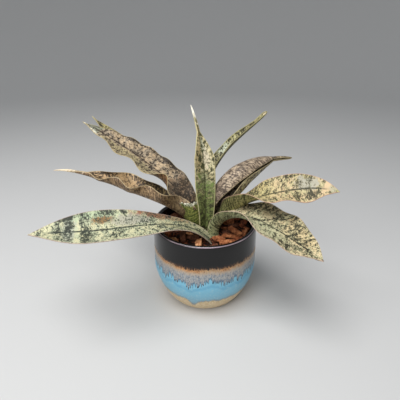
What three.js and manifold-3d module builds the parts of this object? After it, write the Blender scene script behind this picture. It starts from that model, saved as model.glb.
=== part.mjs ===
// Potted coppertone snake plant: a rosette of mottled, channelled leaves in a
// glazed pot with a bark potting mix. Millimetres, +Z up. The pot stands on
// Z = 0 with its axis on Z, the front of the pot faces -Y and +X is its right.
import * as THREE from 'three';
import { mergeVertices } from 'three/addons/utils/BufferGeometryUtils.js';
import Module from 'manifold-3d';

const wasm = await Module();
wasm.setup();
const { Manifold, Mesh } = wasm;

// Pot
const POT_HEIGHT = 100;
const POT_RIM_RADIUS = 60;
const POT_BELLY_RADIUS = 61;
const POT_BELLY_HEIGHT = 45;
const POT_BASE_RADIUS = 40;
const POT_CURVE_POWER = 1.4;
const POT_WALL = 5;
const POT_FLOOR = 8;
const POT_LIP = 2.5;
const POT_SIDES = 52;

// Potting mix
const MIX_TOP = 87;
const MIX_MOUND = 1.5;
const CLEARANCE = 0.35;

// Bark chips
const CHIP_COUNT = 48;
const CHIP_TRIES = 1100;
const CHIP_SHORTEST = 6;
const CHIP_LONGEST = 18;
const CHIP_REACH = 50;
const CHIP_SEED = 11;

// Leaves
const LEAF_THICKNESS = 2.8;
const MARGIN_SHARE = 0.45;
const RINGS = 34;
const STATIONS = 7;

// One entry per leaf, innermost first. Angles are in degrees and run from the
// base of the leaf to its tip: rise above level, heading about Z from +X, roll
// about the midrib and the arc that the blade is curled into. The ruffles,
// waves and phases of the left margin come first, then those of the right one.
// A fold lifts one margin (1 left, -1 right): place and reach along the blade
// as shares of its length, then millimetres outwards and upwards.
const LEAVES = [
  {
    name: 'leaf_centre', color: 0x8b8a5c, base: [0, -9, 84], length: 152, half: 14,
    rise: [93, 81, 63, 50], heading: [92, 97, 110, 120], roll: [6, 8, 6, 10],
    curl: [141, 109, 73, 90], baseShare: 0.67, peak: 0.6, fullness: 1.1, awn: 0.18,
    awnShare: 0.14, ruffle: [1, 1], waves: [2, 2], phase: [0, 90],
  },
  {
    name: 'leaf_left_upper', color: 0x9c8770, base: [-9, 9, 85], length: 197, half: 26,
    rise: [69, 13, 32, 27], heading: [142, 150, 158, 168], roll: [-8, 23, -21, -15],
    curl: [109, 90, 52, 54], baseShare: 0.32, peak: 0.32, fullness: 2.2, awn: 0.02,
    awnShare: 0.04, ruffle: [3, 3.2], waves: [4.5, 7.9], phase: [227, 289],
    folds: [[1, 0.34, 0.05, -2, 8]],
  },
  {
    name: 'leaf_right_back', color: 0x84805a, base: [-2, 16, 85], length: 178, half: 9.5,
    rise: [107, 52, 8, 31], heading: [60, 43, 33, 42], roll: [-5, -8, 2, 9],
    curl: [141, 171, 198, 197], baseShare: 0.9, peak: 0.35, fullness: 2.6, awn: 0.03,
    awnShare: 0.35, ruffle: [0.5, 0.5], waves: [4, 5], phase: [0, 90],
  },
  {
    name: 'leaf_right_rolled', color: 0x8d7c70, base: [7, 9, 85], length: 149, half: 40,
    rise: [98, 45, 12, -9], heading: [35, 23, 15, 15], roll: [79, 75, 82, 106],
    curl: [160, 400, 400, 234], baseShare: 0.28, peak: 0.45, fullness: 1.6, awn: 0.14,
    awnShare: 0.12, ruffle: [0.8, 0.5], waves: [5, 4], phase: [0, 90],
  },
  {
    name: 'leaf_left_hidden', color: 0x6f6a45, base: [-8, 20, 85], length: 206, half: 14,
    rise: [76, -13, 36, 35], heading: [136, 157, 147, 149], roll: [0, 0, 0, 0],
    curl: [150, 120, 100, 90], baseShare: 0.5, peak: 0.6, fullness: 2.2, awn: 0.03,
    awnShare: 0.08, ruffle: [1, 1], waves: [3, 6], phase: [0, 90],
  },
  {
    name: 'leaf_left_middle', color: 0x8f7350, base: [-12, -1, 85], length: 178, half: 25,
    rise: [73, 3, 25, 35, -3], heading: [185, 181, 170, 186], roll: [48, 13, -22, 24],
    curl: [166, 156, 188, 112], baseShare: 0.4, peak: 0.21, fullness: 2.9, awn: 0.16,
    awnShare: 0.12, ruffle: [8, 7], waves: [5.1, 4.1], phase: [34, 164],
  },
  {
    name: 'leaf_right_middle', color: 0xb3a57c, base: [13, -3, 85], length: 154, half: 22,
    rise: [79, 6, 39, -8], heading: [-9, -27, -10, -24], roll: [-82, -33, 58, 43],
    curl: [230, 183, 8, 65], baseShare: 0.43, peak: 0.4, fullness: 3.1, awn: 0,
    awnShare: 0.03, ruffle: [2.8, 2.8], waves: [3.7, 3.7], phase: [104, 260],
  },
  {
    name: 'leaf_stub', color: 0x5f7a33, base: [-15, -7, 84], length: 42, half: 11,
    rise: [81, 85], heading: [228, 239], roll: [-1, 35],
    curl: [122, 70], baseShare: 0.7, peak: 0.6, fullness: 6, awn: -0.8,
    awnShare: 0.03, ruffle: [0, 0], waves: [2, 2], phase: [0, 90], fray: 2.5,
  },
  {
    name: 'leaf_right_low', color: 0xa6a67f, base: [15, -17, 85], length: 144, half: 32,
    rise: [112, -44, -13, -11], heading: [-9, -35, -39, -46], roll: [-23, -17, 9, 0],
    curl: [195, 105, 14, 78], baseShare: 0.37, peak: 0.54, fullness: 2.4, awn: 0,
    awnShare: 0.03, ruffle: [3.2, 1.7], waves: [4.1, 3.5], phase: [151, 289],
  },
  {
    name: 'leaf_left_low', color: 0xa9ab8c, base: [6, -26, 85], length: 192, half: 26,
    rise: [55, -20, 9, 6], heading: [182, 214, 191, 194], roll: [-9, 12, -29, -8],
    curl: [83, 13, 92, 79], baseShare: 0.33, peak: 0.62, fullness: 2, awn: 0,
    awnShare: 0.03, ruffle: [0.8, 0.8], waves: [2.4, 2.4], phase: [280, 43],
  },
];

// Value at t of the Bezier curve through a list of control values.
function bezier(controls, t) {
  let values = controls.slice();
  while (values.length > 1) {
    values = values.slice(1).map((value, i) => values[i] * (1 - t) + value * t);
  }
  return values[0];
}

function clamp01(value) {
  return Math.min(1, Math.max(0, value));
}

// Share of the half width that the blade has at t.
function widthShare(leaf, t) {
  const up = clamp01(t / leaf.peak);
  const bladeEnd = 1 - leaf.awn;
  const down = clamp01((t - leaf.peak) / (bladeEnd - leaf.peak));
  const rising = leaf.baseShare + (1 - leaf.baseShare) * up * up * (3 - 2 * up);
  const blade = t < leaf.peak ? rising : 1 - down ** leaf.fullness;
  const past = clamp01((t - bladeEnd) / Math.max(leaf.awn, 0.02));
  const dryTip = leaf.awnShare * (1 - 0.6 * past) * Math.sqrt(1 - 0.9 * past ** 6);
  return Math.max(blade, dryTip);
}

// Midrib direction, side direction and upward normal of the blade at t.
function leafFrame(leaf, t) {
  const rise = THREE.MathUtils.degToRad(bezier(leaf.rise, t));
  const heading = THREE.MathUtils.degToRad(bezier(leaf.heading, t));
  const roll = THREE.MathUtils.degToRad(bezier(leaf.roll, t));
  const along = new THREE.Vector3(
    Math.cos(rise) * Math.cos(heading),
    Math.cos(rise) * Math.sin(heading),
    Math.sin(rise),
  );
  const flatSide = new THREE.Vector3(-Math.sin(heading), Math.cos(heading), 0);
  const flatUp = new THREE.Vector3().crossVectors(along, flatSide);
  const side = flatSide.clone().multiplyScalar(Math.cos(roll)).addScaledVector(flatUp, Math.sin(roll));
  const up = flatUp.clone().multiplyScalar(Math.cos(roll)).addScaledVector(flatSide, -Math.sin(roll));
  return { along, side, up };
}

// Pairs of upper and lower skin points, ring by ring from base to tip and
// station by station from the right margin to the left one.
function leafRings(leaf, swell) {
  const rings = [];
  const spine = new THREE.Vector3(...leaf.base);
  let before = null;
  for (let i = 0; i < RINGS; i++) {
    const t = i / (RINGS - 1);
    const { along, side, up } = leafFrame(leaf, t);
    if (before) {
      const step = leaf.length / (RINGS - 1) / 2;
      spine.addScaledVector(before, step).addScaledVector(along, step);
    }
    before = along;
    const share = widthShare(leaf, t);
    const half = leaf.half * share;
    const arc = THREE.MathUtils.degToRad(bezier(leaf.curl, t));
    const radius = (2 * half) / arc;
    const fade = clamp01(t / 0.2) * clamp01((1 - t) / 0.15) * Math.sqrt(share);
    const ring = [];
    for (let j = 0; j < STATIONS; j++) {
      const v = (2 * j) / (STATIONS - 1) - 1;
      const reach = v * (1 + swell / half);
      const turn = (reach * arc) / 2;
      const normal = up.clone().multiplyScalar(Math.cos(turn)).addScaledVector(side, -Math.sin(turn));
      const margin = v > 0 ? 0 : 1;
      const phase = THREE.MathUtils.degToRad(leaf.phase[margin]);
      const ripple = Math.sin(2 * Math.PI * leaf.waves[margin] * t + phase);
      let wave = leaf.ruffle[margin] * fade * v * v * ripple;
      let out = radius * Math.sin(turn);
      (leaf.folds || []).forEach(([foldSide, place, width, outwards, upwards]) => {
        const near = Math.exp(-(((t - place) / width) ** 2)) * clamp01(v * foldSide) ** 3;
        out += foldSide * outwards * near;
        wave += upwards * near;
      });
      const middle = spine.clone()
        .addScaledVector(side, out)
        .addScaledVector(up, radius * (1 - Math.cos(turn)))
        .addScaledVector(normal, wave);
      if (i === 0) {
        middle.addScaledVector(along, -swell);
      }
      if (i === RINGS - 1) {
        middle.addScaledVector(along, swell + (leaf.fray && j % 2 ? leaf.fray : 0));
      }
      const full = LEAF_THICKNESS * (1 - (1 - MARGIN_SHARE) * v * v);
      const thick = Math.min(full, half * 0.9, radius * 1.3) / 2 + swell;
      ring.push([
        middle.clone().addScaledVector(normal, thick),
        middle.clone().addScaledVector(normal, -thick),
      ]);
    }
    rings.push(ring);
  }
  return rings;
}

// Closed skin over the rings: both faces, both margins and both ends.
function skinGeometry(rings) {
  const positions = [];
  rings.forEach((ring) => ring.forEach((pair) => pair.forEach((p) => positions.push(p.x, p.y, p.z))));
  const at = (i, j, k) => (i * STATIONS + j) * 2 + k;
  const faces = [];
  const quad = (a, b, c, d) => faces.push(a, b, c, a, c, d);
  const last = STATIONS - 1;
  for (let i = 0; i < rings.length - 1; i++) {
    for (let j = 0; j < last; j++) {
      quad(at(i, j, 0), at(i + 1, j, 0), at(i + 1, j + 1, 0), at(i, j + 1, 0));
      quad(at(i, j, 1), at(i, j + 1, 1), at(i + 1, j + 1, 1), at(i + 1, j, 1));
    }
    quad(at(i, 0, 0), at(i, 0, 1), at(i + 1, 0, 1), at(i + 1, 0, 0));
    quad(at(i, last, 0), at(i + 1, last, 0), at(i + 1, last, 1), at(i, last, 1));
  }
  for (let j = 0; j < last; j++) {
    quad(at(0, j, 0), at(0, j + 1, 0), at(0, j + 1, 1), at(0, j, 1));
    const end = rings.length - 1;
    quad(at(end, j, 0), at(end, j, 1), at(end, j + 1, 1), at(end, j + 1, 0));
  }
  const geometry = new THREE.BufferGeometry();
  geometry.setAttribute('position', new THREE.Float32BufferAttribute(positions, 3));
  geometry.setIndex(faces);
  return outward(geometry);
}

// Turns the faces round where the enclosed volume comes out negative.
function outward(geometry) {
  const position = geometry.getAttribute('position');
  const index = geometry.getIndex();
  const a = new THREE.Vector3();
  const b = new THREE.Vector3();
  const c = new THREE.Vector3();
  let volume = 0;
  for (let i = 0; i < index.count; i += 3) {
    a.fromBufferAttribute(position, index.getX(i));
    b.fromBufferAttribute(position, index.getX(i + 1));
    c.fromBufferAttribute(position, index.getX(i + 2));
    volume += a.dot(b.cross(c));
  }
  if (volume < 0) {
    for (let i = 0; i < index.count; i += 3) {
      const second = index.getX(i + 1);
      index.setX(i + 1, index.getX(i + 2));
      index.setX(i + 2, second);
    }
  }
  return geometry;
}

function toSolid(geometry) {
  const plain = geometry.clone();
  plain.deleteAttribute('normal');
  plain.deleteAttribute('uv');
  const merged = mergeVertices(plain, 1e-4);
  return new Manifold(new Mesh({
    numProp: 3,
    vertProperties: new Float32Array(merged.getAttribute('position').array),
    triVerts: new Uint32Array(merged.getIndex().array),
  }));
}

function toGeometry(solid) {
  const mesh = solid.getMesh();
  const positions = [];
  for (let i = 0; i < mesh.numVert; i++) {
    const start = i * mesh.numProp;
    positions.push(...mesh.vertProperties.slice(start, start + 3));
  }
  const geometry = new THREE.BufferGeometry();
  geometry.setAttribute('position', new THREE.Float32BufferAttribute(positions, 3));
  geometry.setIndex(Array.from(mesh.triVerts));
  return geometry;
}

// The largest of the loose bodies that a cut leaves.
function largestBody(solid) {
  return solid.decompose().reduce((best, body) => (body.volume() > best.volume() ? body : best));
}

function addPiece(group, name, geometry, color, roughness) {
  geometry.computeVertexNormals();
  const material = new THREE.MeshStandardMaterial({ color, roughness, metalness: 0 });
  material.name = `${name}_material`;
  const mesh = new THREE.Mesh(geometry, material);
  mesh.name = name;
  group.add(mesh);
}

// Outer radius of the pot at height z.
function potRadius(z) {
  if (z >= POT_BELLY_HEIGHT) {
    const share = (z - POT_BELLY_HEIGHT) / (POT_HEIGHT - POT_BELLY_HEIGHT);
    return POT_BELLY_RADIUS + (POT_RIM_RADIUS - POT_BELLY_RADIUS) * share * share;
  }
  const low = 1 - z / POT_BELLY_HEIGHT;
  const curve = (1 - low ** POT_CURVE_POWER) ** (1 / POT_CURVE_POWER);
  return POT_BASE_RADIUS + (POT_BELLY_RADIUS - POT_BASE_RADIUS) * curve;
}

function potProfile() {
  const points = [new THREE.Vector2(0, 0)];
  const outerHeights = [0, 1.5, 4, 8, 13, 19, 26, 34, 45, 60, 75, 88];
  outerHeights.forEach((z) => points.push(new THREE.Vector2(potRadius(z), z)));
  const lipCentre = new THREE.Vector2(POT_RIM_RADIUS - POT_LIP, POT_HEIGHT - POT_LIP);
  for (let i = 0; i <= 6; i++) {
    const angle = (Math.PI * i) / 6;
    points.push(new THREE.Vector2(
      lipCentre.x + POT_LIP * Math.cos(angle),
      lipCentre.y + POT_LIP * Math.sin(angle),
    ));
  }
  const innerHeights = [75, 45, 30, 20, 13];
  innerHeights.forEach((z) => points.push(new THREE.Vector2(potRadius(z) - POT_WALL, z)));
  points.push(new THREE.Vector2(potRadius(POT_FLOOR) - POT_WALL - 4, POT_FLOOR));
  points.push(new THREE.Vector2(0, POT_FLOOR));
  return points;
}

function potGeometry() {
  return latheGeometry(potProfile(), POT_SIDES);
}

// A turned body about Z from a profile of radius and height.
function latheGeometry(profile, sides) {
  const geometry = new THREE.LatheGeometry(profile, sides);
  geometry.rotateX(Math.PI / 2);
  geometry.deleteAttribute('normal');
  geometry.deleteAttribute('uv');
  return outward(dropSlivers(mergeVertices(geometry, 1e-4)));
}

// Leaves out the triangles that close up to nothing on the axis.
function dropSlivers(geometry) {
  const index = geometry.getIndex().array;
  const kept = [];
  for (let i = 0; i < index.length; i += 3) {
    const [a, b, c] = [index[i], index[i + 1], index[i + 2]];
    if (a !== b && b !== c && c !== a) {
      kept.push(a, b, c);
    }
  }
  geometry.setIndex(kept);
  return geometry;
}

function mixProfile() {
  const inset = POT_WALL + CLEARANCE;
  const points = [new THREE.Vector2(0, POT_FLOOR + CLEARANCE)];
  points.push(new THREE.Vector2(potRadius(POT_FLOOR) - inset - 4.2, POT_FLOOR + CLEARANCE));
  [13, 20, 30, 45, 75].forEach((z) => points.push(new THREE.Vector2(potRadius(z) - inset, z)));
  points.push(new THREE.Vector2(potRadius(MIX_TOP) - inset, MIX_TOP));
  points.push(new THREE.Vector2(CHIP_REACH - 6, MIX_TOP));
  points.push(new THREE.Vector2(0, MIX_TOP + MIX_MOUND));
  return points;
}

// Height of the potting mix at a distance from the pot's axis.
function mixHeight(radius) {
  return MIX_TOP + MIX_MOUND * Math.max(0, 1 - radius / (CHIP_REACH - 6));
}

// Repeatable numbers from 0 to 1.
function numberSource(seed) {
  let state = seed;
  return () => {
    state = (state * 1664525 + 1013904223) % 4294967296;
    return state / 4294967296;
  };
}

// A splinter of bark: a flat block with its ends narrowed and its corners knocked
// about, rounded out to a convex body.
function chipGeometry(random, length) {
  const width = length * (0.42 + 0.34 * random());
  const depth = length * (0.2 + 0.13 * random());
  const geometry = new THREE.BoxGeometry(1, 1, 1, 2, 1, 1);
  geometry.deleteAttribute('normal');
  geometry.deleteAttribute('uv');
  const chip = mergeVertices(geometry, 1e-4);
  const position = chip.getAttribute('position');
  for (let i = 0; i < position.count; i++) {
    const narrowed = 1 - 0.5 * Math.abs(position.getX(i)) - 0.3 * random();
    position.setXYZ(
      i,
      (position.getX(i) + 0.2 * (random() - 0.5)) * length,
      (position.getY(i) * narrowed + 0.16 * (random() - 0.5)) * width,
      (position.getZ(i) * narrowed + 0.2 * (random() - 0.5)) * depth,
    );
  }
  chip.rotateX((random() - 0.5) * 0.6);
  chip.rotateY((random() - 0.5) * 0.36);
  chip.rotateZ(random() * Math.PI * 2);
  const body = toGeometry(toSolid(chip).hull());
  body.computeBoundingBox();
  return body;
}

// Chips laid on the mix, the longest first, each clear of all before.
function layChips(obstacles) {
  const random = numberSource(CHIP_SEED);
  const laid = [];
  let taken = obstacles;
  for (let i = 0; i < CHIP_TRIES && laid.length < CHIP_COUNT; i++) {
    const radius = CHIP_REACH * Math.sqrt(0.05 + 0.95 * random());
    const angle = random() * Math.PI * 2;
    const length = CHIP_LONGEST - (CHIP_LONGEST - CHIP_SHORTEST) * (i / CHIP_TRIES);
    const chip = chipGeometry(random, length);
    const lift = mixHeight(radius - 5) + CLEARANCE + 0.05 - chip.boundingBox.min.z;
    chip.translate(radius * Math.cos(angle), radius * Math.sin(angle), lift);
    const solid = toSolid(chip);
    if (taken.every((other) => solid.minGap(other, 1) > CLEARANCE)) {
      laid.push(chip);
      taken = taken.concat([solid]);
    }
  }
  return laid;
}

function buildPlant() {
  const group = new THREE.Group();
  const pot = potGeometry();
  const leaves = [];
  LEAVES.forEach((leaf) => {
    let solid = toSolid(skinGeometry(leafRings(leaf, 0)));
    leaves.forEach((inner) => {
      solid = solid.subtract(inner.swollen);
    });
    const swollen = toSolid(skinGeometry(leafRings(leaf, CLEARANCE)));
    leaves.push({ leaf, solid: largestBody(solid), swollen });
  });
  let mix = toSolid(latheGeometry(mixProfile(), POT_SIDES));
  leaves.forEach((entry) => {
    mix = mix.subtract(entry.swollen);
  });
  const potSolid = toSolid(pot);
  const chips = layChips([potSolid].concat(leaves.map((entry) => entry.swollen)));

  addPiece(group, 'pot', pot, 0x2c2b30, 0.3);
  addPiece(group, 'potting_mix', toGeometry(largestBody(mix)), 0x3a2419, 0.95);
  leaves.forEach((entry) => {
    addPiece(group, entry.leaf.name, toGeometry(entry.solid), entry.leaf.color, 0.6);
  });
  chips.forEach((chip, i) => {
    const name = `bark_chip_${String(i + 1).padStart(2, '0')}`;
    addPiece(group, name, chip, 0xa5552b, 0.85);
  });
  return group;
}

const group = buildPlant();
export default group;
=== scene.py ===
import math
import random
from types import SimpleNamespace

import bpy
import numpy as np
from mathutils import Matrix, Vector, noise


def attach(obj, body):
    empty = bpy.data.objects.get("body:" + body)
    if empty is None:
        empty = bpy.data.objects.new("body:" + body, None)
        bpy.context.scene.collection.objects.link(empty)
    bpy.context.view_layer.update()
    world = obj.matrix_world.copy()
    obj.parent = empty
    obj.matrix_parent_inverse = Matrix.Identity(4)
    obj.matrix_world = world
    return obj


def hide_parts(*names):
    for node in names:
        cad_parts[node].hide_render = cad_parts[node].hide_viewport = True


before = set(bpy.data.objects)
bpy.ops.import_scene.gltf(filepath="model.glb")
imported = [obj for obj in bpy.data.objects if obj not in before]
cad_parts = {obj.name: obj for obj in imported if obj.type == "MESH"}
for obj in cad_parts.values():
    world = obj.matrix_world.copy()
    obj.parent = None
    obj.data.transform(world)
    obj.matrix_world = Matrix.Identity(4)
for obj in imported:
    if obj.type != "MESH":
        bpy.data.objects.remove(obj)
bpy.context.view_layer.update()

MM = 0.001

# Camera, fitted to the pot in the photograph
CAMERA_AT = (-5.9 * MM, -358.3 * MM, 302.55 * MM)
CAMERA_PITCH = 26.4
CAMERA_LENS = 31.5
SENSOR_WIDTH = 36

# Pot, in millimetres
POT_HEIGHT = 100
POT_RIM_RADIUS = 60
POT_BELLY_RADIUS = 61
POT_BELLY_HEIGHT = 45
POT_BASE_RADIUS = 40
POT_CURVE_POWER = 1.4
POT_WALL = 5
POT_FLOOR = 8
POT_LIP = 2.5
POT_FOOT_ROUNDING = 1.2
POT_UNEVENNESS = 0.0015
POT_SIDES = 224

# Glaze of the pot: mean heights in millimetres, less what the noises add
GLAZE_LINE = 32.5
GLAZE_RUN_END = 38.5
GLAZE_DRIP_LENGTH = 5.5
GLAZE_BAND_END = 61.8
GLAZE_FOOT_EDGE = 10.3
GLAZE_LONG_RUN = 8.5
GLAZE_LONG_RUN_X = -13.0
GLAZE_LONG_RUN_WIDTH = 5.0
LIP_BREAK_AND_HIGHLIGHT_INSET = 0.7

# Glaze colours, in the usual 0 to 255 screen values
BLUES = [(0.0, (122, 140, 150)), (0.12, (122, 166, 186)), (0.5, (124, 184, 208)), (1.0, (124, 188, 214))]
GLAZES = dict(
    blue_line=(84, 154, 190), blue_specks=(172, 200, 208),
    grey=(118, 132, 146), grey_strands=(168, 166, 162), grey_grains=(192, 190, 184),
    grey_specks=(84, 88, 100), run_end=(90, 120, 142), drip_end=(46, 62, 82),
    beige=(188, 166, 140), amber=(196, 134, 72), pale_amber=(182, 152, 116), rust_strands=(98, 62, 38),
    amber_grains=(226, 168, 104), band_edge=(54, 32, 18), band=(4, 3, 4), band_specks=(16, 13, 15),
    # a greyer band of painted shade lies just above the bare foot
    foot_painted_shade=(124, 132, 134), cream=(222, 200, 160), cream_grains=(182, 152, 106),
    # a lilac line round the rim's edge is partly a thin glaze break and partly a painted highlight
    cream_specks=(234, 222, 196), lip_break_and_highlight=(176, 158, 168), inside=(16, 13, 14))

# Potting mix, in millimetres
MIX_TOP = 87
MIX_MOUND = 1.5
MIX_MOUND_RADIUS = 44
MIX_RADIUS = 54.4
MIX_UNDERSIDE = 70
MIX_RINGS = 40
MIX_SIDES = 128
CRUMBS = 1500
CRUMB_REACH = 53
CRUMB_SIZES = (0.7, 2.1)
CRUMB_SEED = 5

# Bark: light, middle and dark tones in screen values, and lumps in metres
PEAT_TONES = ((60, 36, 24), (32, 19, 13), (12, 8, 6))
CRUMB_TONES = ((150, 84, 50), (80, 40, 24), (26, 14, 10))
CHIP_TONES = [
    ((216, 146, 98), (150, 88, 54), (64, 34, 20)),
    ((184, 110, 68), (118, 62, 38), (46, 24, 16)),
    ((234, 186, 140), (186, 126, 84), (86, 50, 30)),
    ((136, 88, 62), (88, 52, 36), (36, 22, 16)),
]
CHIP_TONE_STEP = 7
CHIP_SUBDIVISIONS = 3
CHIP_LUMP_SIZE = 0.003
CHIP_LUMP_HEIGHT = 0.0016

# Backdrop, in metres
BACKDROP_FLAT = 1.5
BACKDROP_CURVE = 1.0
BACKDROP_CURVE_STEPS = 12
BACKDROP_SIDES = 64
FLOOR_COLOR = (206, 206, 205)

# Lights: name, place and aim in metres, width and depth in metres, watts
LIGHTS = [
    ("overhead", (-0.2, -0.25, 1.05), (0, 0, 0.12), 0.9, 0.45, 9),
    ("front", (-0.5, -0.9, 0.75), (0, 0, 0.1), 0.6, 0.6, 6),
]
SKY_COLOR = (0.93, 0.96, 1.0, 1)
SKY_STRENGTH = 0.32

# Leaf blades, in millimetres, with the mesh rows along and across them
LEAF_THICKNESS = 2.8
MARGIN_SHARE = 0.26
RIDGE_HEIGHT = 0.35
RINGS = 170
STATIONS = 27

# Noises of the leaf skin, in cycles a millimetre across and along the blade
BLOTCH_SCALE = (0.11, 0.14, 1)
FLECK_SCALE = (0.38, 0.48)
GRAIN_SCALE = (1.4, 1.6, 1)
STREAK_SCALE = (1.1, 0.07, 1)
BAND_SCALE = (0.09, 0.3, 1)
STRIPE_SCALE = (0.12, 0.7, 1)
BAND_SLANT = -0.5

# Shapes of the leaves, in millimetres and degrees. base is where the midrib leaves
# the mix, half the greatest half width. rise, heading, roll and curl are control
# values along the blade, of its slope, its direction, its tilt about the midrib and
# its bend across. base_share is the share of the width at the base, peak where the
# blade is widest and fullness how late it narrows from there; awn and awn_share are
# the length and the width of a dry tip, as shares. ruffle, waves and phase are the
# height, number and start of the waves of the left and right margins, and crease
# how sharply the blade folds at the midrib. folds are (side, place along, reach,
# outwards, upwards) and move one margin, and fray is how far torn ends stick out.
LEAVES = {
    "leaf_centre": dict(
        base=(0, -9, 84), length=152, half=14,
        rise=(93, 81, 63, 50), heading=(92, 97, 110, 120), roll=(6, 8, 6, 10),
        curl=(141, 109, 73, 90), base_share=0.67, peak=0.6, fullness=1.1, awn=0.18,
        awn_share=0.14, ruffle=(1, 1), waves=(2, 2), phase=(0, 90), crease=0.8),
    "leaf_left_upper": dict(
        base=(-9, 9, 85), length=197, half=26,
        rise=(69, 13, 32, 27), heading=(142, 150, 158, 168), roll=(-8, 23, -21, -15),
        curl=(109, 90, 52, 54), base_share=0.32, peak=0.32, fullness=2.2, awn=0.02,
        awn_share=0.04, ruffle=(3, 3.2), waves=(4.5, 7.9), phase=(227, 289), crease=0.6,
        folds=[(1, 0.34, 0.05, -2, 8)]),
    "leaf_right_back": dict(
        base=(-2, 16, 85), length=178, half=9.5,
        rise=(107, 52, 8, 31), heading=(60, 43, 33, 42), roll=(-5, -8, 2, 9),
        curl=(141, 171, 198, 197), base_share=0.9, peak=0.35, fullness=2.6, awn=0.03,
        awn_share=0.35, ruffle=(0.5, 0.5), waves=(4, 5), phase=(0, 90), crease=0.2),
    "leaf_right_rolled": dict(
        base=(7, 9, 85), length=149, half=40,
        rise=(98, 45, 12, -9), heading=(35, 23, 15, 15), roll=(79, 75, 82, 106),
        curl=(160, 400, 400, 234), base_share=0.28, peak=0.45, fullness=1.6, awn=0.14,
        awn_share=0.12, ruffle=(0.8, 0.5), waves=(5, 4), phase=(0, 90), crease=0),
    "leaf_left_hidden": dict(
        base=(-8, 20, 85), length=206, half=14,
        rise=(76, -13, 36, 35), heading=(136, 157, 147, 149), roll=(0, 0, 0, 0),
        curl=(150, 120, 100, 90), base_share=0.5, peak=0.6, fullness=2.2, awn=0.03,
        awn_share=0.08, ruffle=(1, 1), waves=(3, 6), phase=(0, 90), crease=0.4),
    "leaf_left_middle": dict(
        base=(-12, -1, 85), length=178, half=25,
        rise=(73, 3, 25, 35, -3), heading=(185, 181, 170, 186), roll=(48, 13, -22, 24),
        curl=(166, 156, 188, 112), base_share=0.4, peak=0.21, fullness=2.9, awn=0.16,
        awn_share=0.12, ruffle=(8, 7), waves=(5.1, 4.1), phase=(34, 164), crease=0.2),
    "leaf_right_middle": dict(
        base=(13, -3, 85), length=154, half=22,
        rise=(79, 6, 39, -8), heading=(-9, -27, -10, -24), roll=(-82, -33, 58, 43),
        curl=(230, 183, 8, 65), base_share=0.43, peak=0.4, fullness=3.1, awn=0,
        awn_share=0.03, ruffle=(2.8, 2.8), waves=(3.7, 3.7), phase=(104, 260), crease=0.4),
    "leaf_stub": dict(
        base=(-15, -7, 84), length=42, half=11,
        rise=(81, 85), heading=(228, 239), roll=(-1, 35),
        curl=(122, 70), base_share=0.7, peak=0.6, fullness=6, awn=-0.8,
        awn_share=0.03, ruffle=(0, 0), waves=(2, 2), phase=(0, 90), crease=0, fray=2.5),
    "leaf_right_low": dict(
        base=(15, -17, 85), length=144, half=32,
        rise=(112, -44, -13, -11), heading=(-9, -35, -39, -46), roll=(-23, -17, 9, 0),
        curl=(195, 105, 14, 78), base_share=0.37, peak=0.54, fullness=2.4, awn=0,
        awn_share=0.03, ruffle=(3.2, 1.7), waves=(4.1, 3.5), phase=(151, 289), crease=0.4),
    "leaf_left_low": dict(
        base=(6, -26, 85), length=192, half=26,
        rise=(55, -20, 9, 6), heading=(182, 214, 191, 194), roll=(-9, 12, -29, -8),
        curl=(83, 13, 92, 79), base_share=0.33, peak=0.62, fullness=2, awn=0,
        awn_share=0.03, ruffle=(0.8, 0.8), waves=(2.4, 2.4), phase=(280, 43), crease=0.4),
}
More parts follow.
